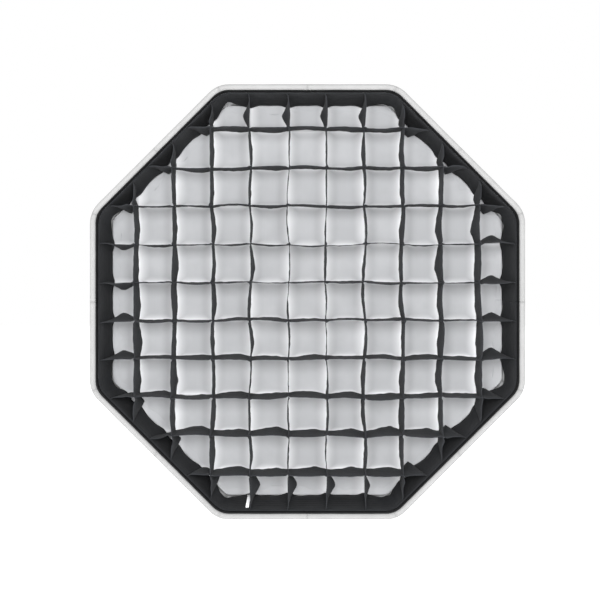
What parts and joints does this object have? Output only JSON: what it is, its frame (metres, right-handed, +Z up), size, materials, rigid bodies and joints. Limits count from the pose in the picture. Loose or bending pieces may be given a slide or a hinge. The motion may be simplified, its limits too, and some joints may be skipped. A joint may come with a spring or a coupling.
{
  "type": "octabox",
  "caption": "Folding octagonal softbox with hinged ribs on a lamp ring, a fabric shell, two diffusers and a pull-off fabric grid.",
  "frame": {"origin": "centre of the lamp mount's bore, in the plane of the flange face that seats on the lamp", "axes": "+Y backwards out of the lamp mount, the octabox faces -Y; +Z up, with one flat of the octagon on top"},
  "size_m": [0.6, 0.3038, 0.6],
  "materials": {
    "zinc_steel": "zinc-plated pressed steel",
    "cast_black": "black powder coat",
    "bright_steel": "turned steel",
    "spring_steel": "drawn spring steel",
    "rib_joint": "glass-filled nylon",
    "black_rubber": "matt rubber",
    "black_plastic": "moulded, fluted",
    "black_nylon": "coated woven nylon",
    "black_webbing": "woven elastic tape",
    "diffusion_cloth": "white translucent polyester",
    "white_trim": "white bias tape",
    "grid_cloth": "charcoal woven polyester",
    "band_cloth": "charcoal loop-faced cloth"
  },
  "bodies": {
    "lamp_mount": {"mount_insert": "zinc_steel"},
    "ring": {"speed_ring": "cast_black", "ring_retainer": "cast_black", "retainer_screws": "bright_steel", "hinge_pins": "bright_steel", "stop_pads": "black_rubber", "rear_collar": "black_nylon"},
    "left_knob": {"knob_left": "black_plastic", "knob_left_screw": "bright_steel"},
    "right_knob": {"knob_right": "black_plastic", "knob_right_screw": "bright_steel"},
    "rib_1": {"rib_root_1": "rib_joint", "rib_rod_1": "spring_steel", "rib_tip_1": "black_rubber"},
    "rib_2": {"rib_root_2": "rib_joint", "rib_rod_2": "spring_steel", "rib_tip_2": "black_rubber"},
    "rib_3": {"rib_root_3": "rib_joint", "rib_rod_3": "spring_steel", "rib_tip_3": "black_rubber"},
    "rib_4": {"rib_root_4": "rib_joint", "rib_rod_4": "spring_steel", "rib_tip_4": "black_rubber"},
    "rib_5": {"rib_root_5": "rib_joint", "rib_rod_5": "spring_steel", "rib_tip_5": "black_rubber"},
    "rib_6": {"rib_root_6": "rib_joint", "rib_rod_6": "spring_steel", "rib_tip_6": "black_rubber"},
    "rib_7": {"rib_root_7": "rib_joint", "rib_rod_7": "spring_steel", "rib_tip_7": "black_rubber"},
    "rib_8": {"rib_root_8": "rib_joint", "rib_rod_8": "spring_steel", "rib_tip_8": "black_rubber"},
    "panel_1a": {"shell_1a": "black_nylon"},
    "panel_1b": {"shell_1b": "black_nylon"},
    "panel_2a": {"shell_2a": "black_nylon"},
    "panel_2b": {"shell_2b": "black_nylon"},
    "panel_3a": {"shell_3a": "black_nylon"},
    "panel_3b": {"shell_3b": "black_nylon"},
    "panel_4a": {"shell_4a": "black_nylon"},
    "panel_4b": {"shell_4b": "black_nylon"},
    "panel_5a": {"shell_5a": "black_nylon"},
    "panel_5b": {"shell_5b": "black_nylon"},
    "panel_6a": {"shell_6a": "black_nylon"},
    "panel_6b": {"shell_6b": "black_nylon"},
    "panel_7a": {"shell_7a": "black_nylon"},
    "panel_7b": {"shell_7b": "black_nylon"},
    "panel_8a": {"shell_8a": "black_nylon"},
    "panel_8b": {"shell_8b": "black_nylon"},
    "baffle": {"inner_baffle": "diffusion_cloth", "baffle_straps": "black_webbing"},
    "diffuser": {"front_diffuser": "diffusion_cloth", "diffuser_border": "white_trim"},
    "grid": {"grid_verticals": "grid_cloth", "grid_horizontals": "grid_cloth", "grid_band": "band_cloth", "pull_tab": "white_trim"}
  },
  "joints": [
    {"name": "ring_spin", "type": "hinge", "parent": "lamp_mount", "child": "ring", "pos_m": [0, 0, 0], "axis": [0, -1, 0], "continuous": true},
    {"name": "left_knob_turn", "type": "hinge", "parent": "ring", "child": "left_knob", "pos_m": [-0.085, -0.004, 0], "axis": [-1, 0, 0], "range_deg": [0, 360]},
    {"name": "right_knob_turn", "type": "hinge", "parent": "ring", "child": "right_knob", "pos_m": [0.085, -0.004, 0], "axis": [1, 0, 0], "range_deg": [0, 360]},
    {"name": "fold_1", "type": "hinge", "parent": "ring", "child": "rib_1", "pos_m": [0.07995, -0.03481, 0.03312], "axis": [0.3827, 0, -0.9239], "range_deg": [0, 36]},
    {"name": "fold_2", "type": "hinge", "parent": "ring", "child": "rib_2", "pos_m": [0.03312, -0.03481, 0.07995], "axis": [0.9239, 0, -0.3827], "range_deg": [0, 36]},
    {"name": "fold_3", "type": "hinge", "parent": "ring", "child": "rib_3", "pos_m": [-0.03312, -0.03481, 0.07995], "axis": [0.9239, 0, 0.3827], "range_deg": [0, 36]},
    {"name": "fold_4", "type": "hinge", "parent": "ring", "child": "rib_4", "pos_m": [-0.07995, -0.03481, 0.03312], "axis": [0.3827, 0, 0.9239], "range_deg": [0, 36]},
    {"name": "fold_5", "type": "hinge", "parent": "ring", "child": "rib_5", "pos_m": [-0.07995, -0.03481, -0.03312], "axis": [-0.3827, 0, 0.9239], "range_deg": [0, 36]},
    {"name": "fold_6", "type": "hinge", "parent": "ring", "child": "rib_6", "pos_m": [-0.03312, -0.03481, -0.07995], "axis": [-0.9239, 0, 0.3827], "range_deg": [0, 36]},
    {"name": "fold_7", "type": "hinge", "parent": "ring", "child": "rib_7", "pos_m": [0.03312, -0.03481, -0.07995], "axis": [-0.9239, 0, -0.3827], "range_deg": [0, 36]},
    {"name": "fold_8", "type": "hinge", "parent": "ring", "child": "rib_8", "pos_m": [0.07995, -0.03481, -0.03312], "axis": [-0.3827, 0, -0.9239], "range_deg": [0, 36]},
    {"name": "crease_1a", "type": "hinge", "parent": "rib_1", "child": "panel_1a", "pos_m": [0.1266, -0.0024, 0.05244], "axis": [0.4991, -0.8415, 0.2067], "range_deg": [0, 70], "deforming": ["shell_1a"]},
    {"name": "crease_1b", "type": "hinge", "parent": "rib_1", "child": "panel_1b", "pos_m": [0.1266, -0.0024, 0.05244], "axis": [-0.4991, 0.8415, -0.2067], "range_deg": [0, 70], "deforming": ["shell_1b"]},
    {"name": "crease_2a", "type": "hinge", "parent": "rib_2", "child": "panel_2a", "pos_m": [0.05244, -0.0024, 0.1266], "axis": [0.2067, -0.8415, 0.4991], "range_deg": [0, 70], "deforming": ["shell_2a"]},
    {"name": "crease_2b", "type": "hinge", "parent": "rib_2", "child": "panel_2b", "pos_m": [0.05244, -0.0024, 0.1266], "axis": [-0.2067, 0.8415, -0.4991], "range_deg": [0, 70], "deforming": ["shell_2b"]},
    {"name": "crease_3a", "type": "hinge", "parent": "rib_3", "child": "panel_3a", "pos_m": [-0.05244, -0.0024, 0.1266], "axis": [-0.2067, -0.8415, 0.4991], "range_deg": [0, 70], "deforming": ["shell_3a"]},
    {"name": "crease_3b", "type": "hinge", "parent": "rib_3", "child": "panel_3b", "pos_m": [-0.05244, -0.0024, 0.1266], "axis": [0.2067, 0.8415, -0.4991], "range_deg": [0, 70], "deforming": ["shell_3b"]},
    {"name": "crease_4a", "type": "hinge", "parent": "rib_4", "child": "panel_4a", "pos_m": [-0.1266, -0.0024, 0.05244], "axis": [-0.4991, -0.8415, 0.2067], "range_deg": [0, 70], "deforming": ["shell_4a"]},
    {"name": "crease_4b", "type": "hinge", "parent": "rib_4", "child": "panel_4b", "pos_m": [-0.1266, -0.0024, 0.05244], "axis": [0.4991, 0.8415, -0.2067], "range_deg": [0, 70], "deforming": ["shell_4b"]},
    {"name": "crease_5a", "type": "hinge", "parent": "rib_5", "child": "panel_5a", "pos_m": [-0.1266, -0.0024, -0.05244], "axis": [-0.4991, -0.8415, -0.2067], "range_deg": [0, 70], "deforming": ["shell_5a"]},
    {"name": "crease_5b", "type": "hinge", "parent": "rib_5", "child": "panel_5b", "pos_m": [-0.1266, -0.0024, -0.05244], "axis": [0.4991, 0.8415, 0.2067], "range_deg": [0, 70], "deforming": ["shell_5b"]},
    {"name": "crease_6a", "type": "hinge", "parent": "rib_6", "child": "panel_6a", "pos_m": [-0.05244, -0.0024, -0.1266], "axis": [-0.2067, -0.8415, -0.4991], "range_deg": [0, 70], "deforming": ["shell_6a"]},
    {"name": "crease_6b", "type": "hinge", "parent": "rib_6", "child": "panel_6b", "pos_m": [-0.05244, -0.0024, -0.1266], "axis": [0.2067, 0.8415, 0.4991], "range_deg": [0, 70], "deforming": ["shell_6b"]},
    {"name": "crease_7a", "type": "hinge", "parent": "rib_7", "child": "panel_7a", "pos_m": [0.05244, -0.0024, -0.1266], "axis": [0.2067, -0.8415, -0.4991], "range_deg": [0, 70], "deforming": ["shell_7a"]},
    {"name": "crease_7b", "type": "hinge", "parent": "rib_7", "child": "panel_7b", "pos_m": [0.05244, -0.0024, -0.1266], "axis": [-0.2067, 0.8415, 0.4991], "range_deg": [0, 70], "deforming": ["shell_7b"]},
    {"name": "crease_8a", "type": "hinge", "parent": "rib_8", "child": "panel_8a", "pos_m": [0.1266, -0.0024, -0.05244], "axis": [0.4991, -0.8415, -0.2067], "range_deg": [0, 70], "deforming": ["shell_8a"]},
    {"name": "crease_8b", "type": "hinge", "parent": "rib_8", "child": "panel_8b", "pos_m": [0.1266, -0.0024, -0.05244], "axis": [-0.4991, 0.8415, 0.2067], "range_deg": [0, 70], "deforming": ["shell_8b"]},
    {"name": "baffle_lift", "type": "slide", "parent": "ring", "child": "baffle", "axis": [0, -1, 0], "range_m": [0, 0.29]},
    {"name": "diffuser_lift", "type": "slide", "parent": "ring", "child": "diffuser", "axis": [0, -1, 0], "range_m": [0, 0.21]},
    {"name": "grid_pull", "type": "slide", "parent": "diffuser", "child": "grid", "axis": [0, -1, 0], "range_m": [0, 0.12]}
  ],
  "couplings": [
    {"joint": "fold_2", "follows": "fold_1", "ratio": 1},
    {"joint": "fold_3", "follows": "fold_1", "ratio": 1},
    {"joint": "fold_4", "follows": "fold_1", "ratio": 1},
    {"joint": "fold_5", "follows": "fold_1", "ratio": 1},
    {"joint": "fold_6", "follows": "fold_1", "ratio": 1},
    {"joint": "fold_7", "follows": "fold_1", "ratio": 1},
    {"joint": "fold_8", "follows": "fold_1", "ratio": 1},
    {"joint": "crease_1a", "follows": "fold_1", "ratio": 1.9444},
    {"joint": "crease_1b", "follows": "fold_1", "ratio": 1.9444},
    {"joint": "crease_2a", "follows": "fold_1", "ratio": 1.9444},
    {"joint": "crease_2b", "follows": "fold_1", "ratio": 1.9444},
    {"joint": "crease_3a", "follows": "fold_1", "ratio": 1.9444},
    {"joint": "crease_3b", "follows": "fold_1", "ratio": 1.9444},
    {"joint": "crease_4a", "follows": "fold_1", "ratio": 1.9444},
    {"joint": "crease_4b", "follows": "fold_1", "ratio": 1.9444},
    {"joint": "crease_5a", "follows": "fold_1", "ratio": 1.9444},
    {"joint": "crease_5b", "follows": "fold_1", "ratio": 1.9444},
    {"joint": "crease_6a", "follows": "fold_1", "ratio": 1.9444},
    {"joint": "crease_6b", "follows": "fold_1", "ratio": 1.9444},
    {"joint": "crease_7a", "follows": "fold_1", "ratio": 1.9444},
    {"joint": "crease_7b", "follows": "fold_1", "ratio": 1.9444},
    {"joint": "crease_8a", "follows": "fold_1", "ratio": 1.9444},
    {"joint": "crease_8b", "follows": "fold_1", "ratio": 1.9444},
    {"joint": "baffle_lift", "follows": "fold_1", "m_per_rad": 0.46155},
    {"joint": "diffuser_lift", "follows": "fold_1", "m_per_rad": 0.33423}
  ]
}
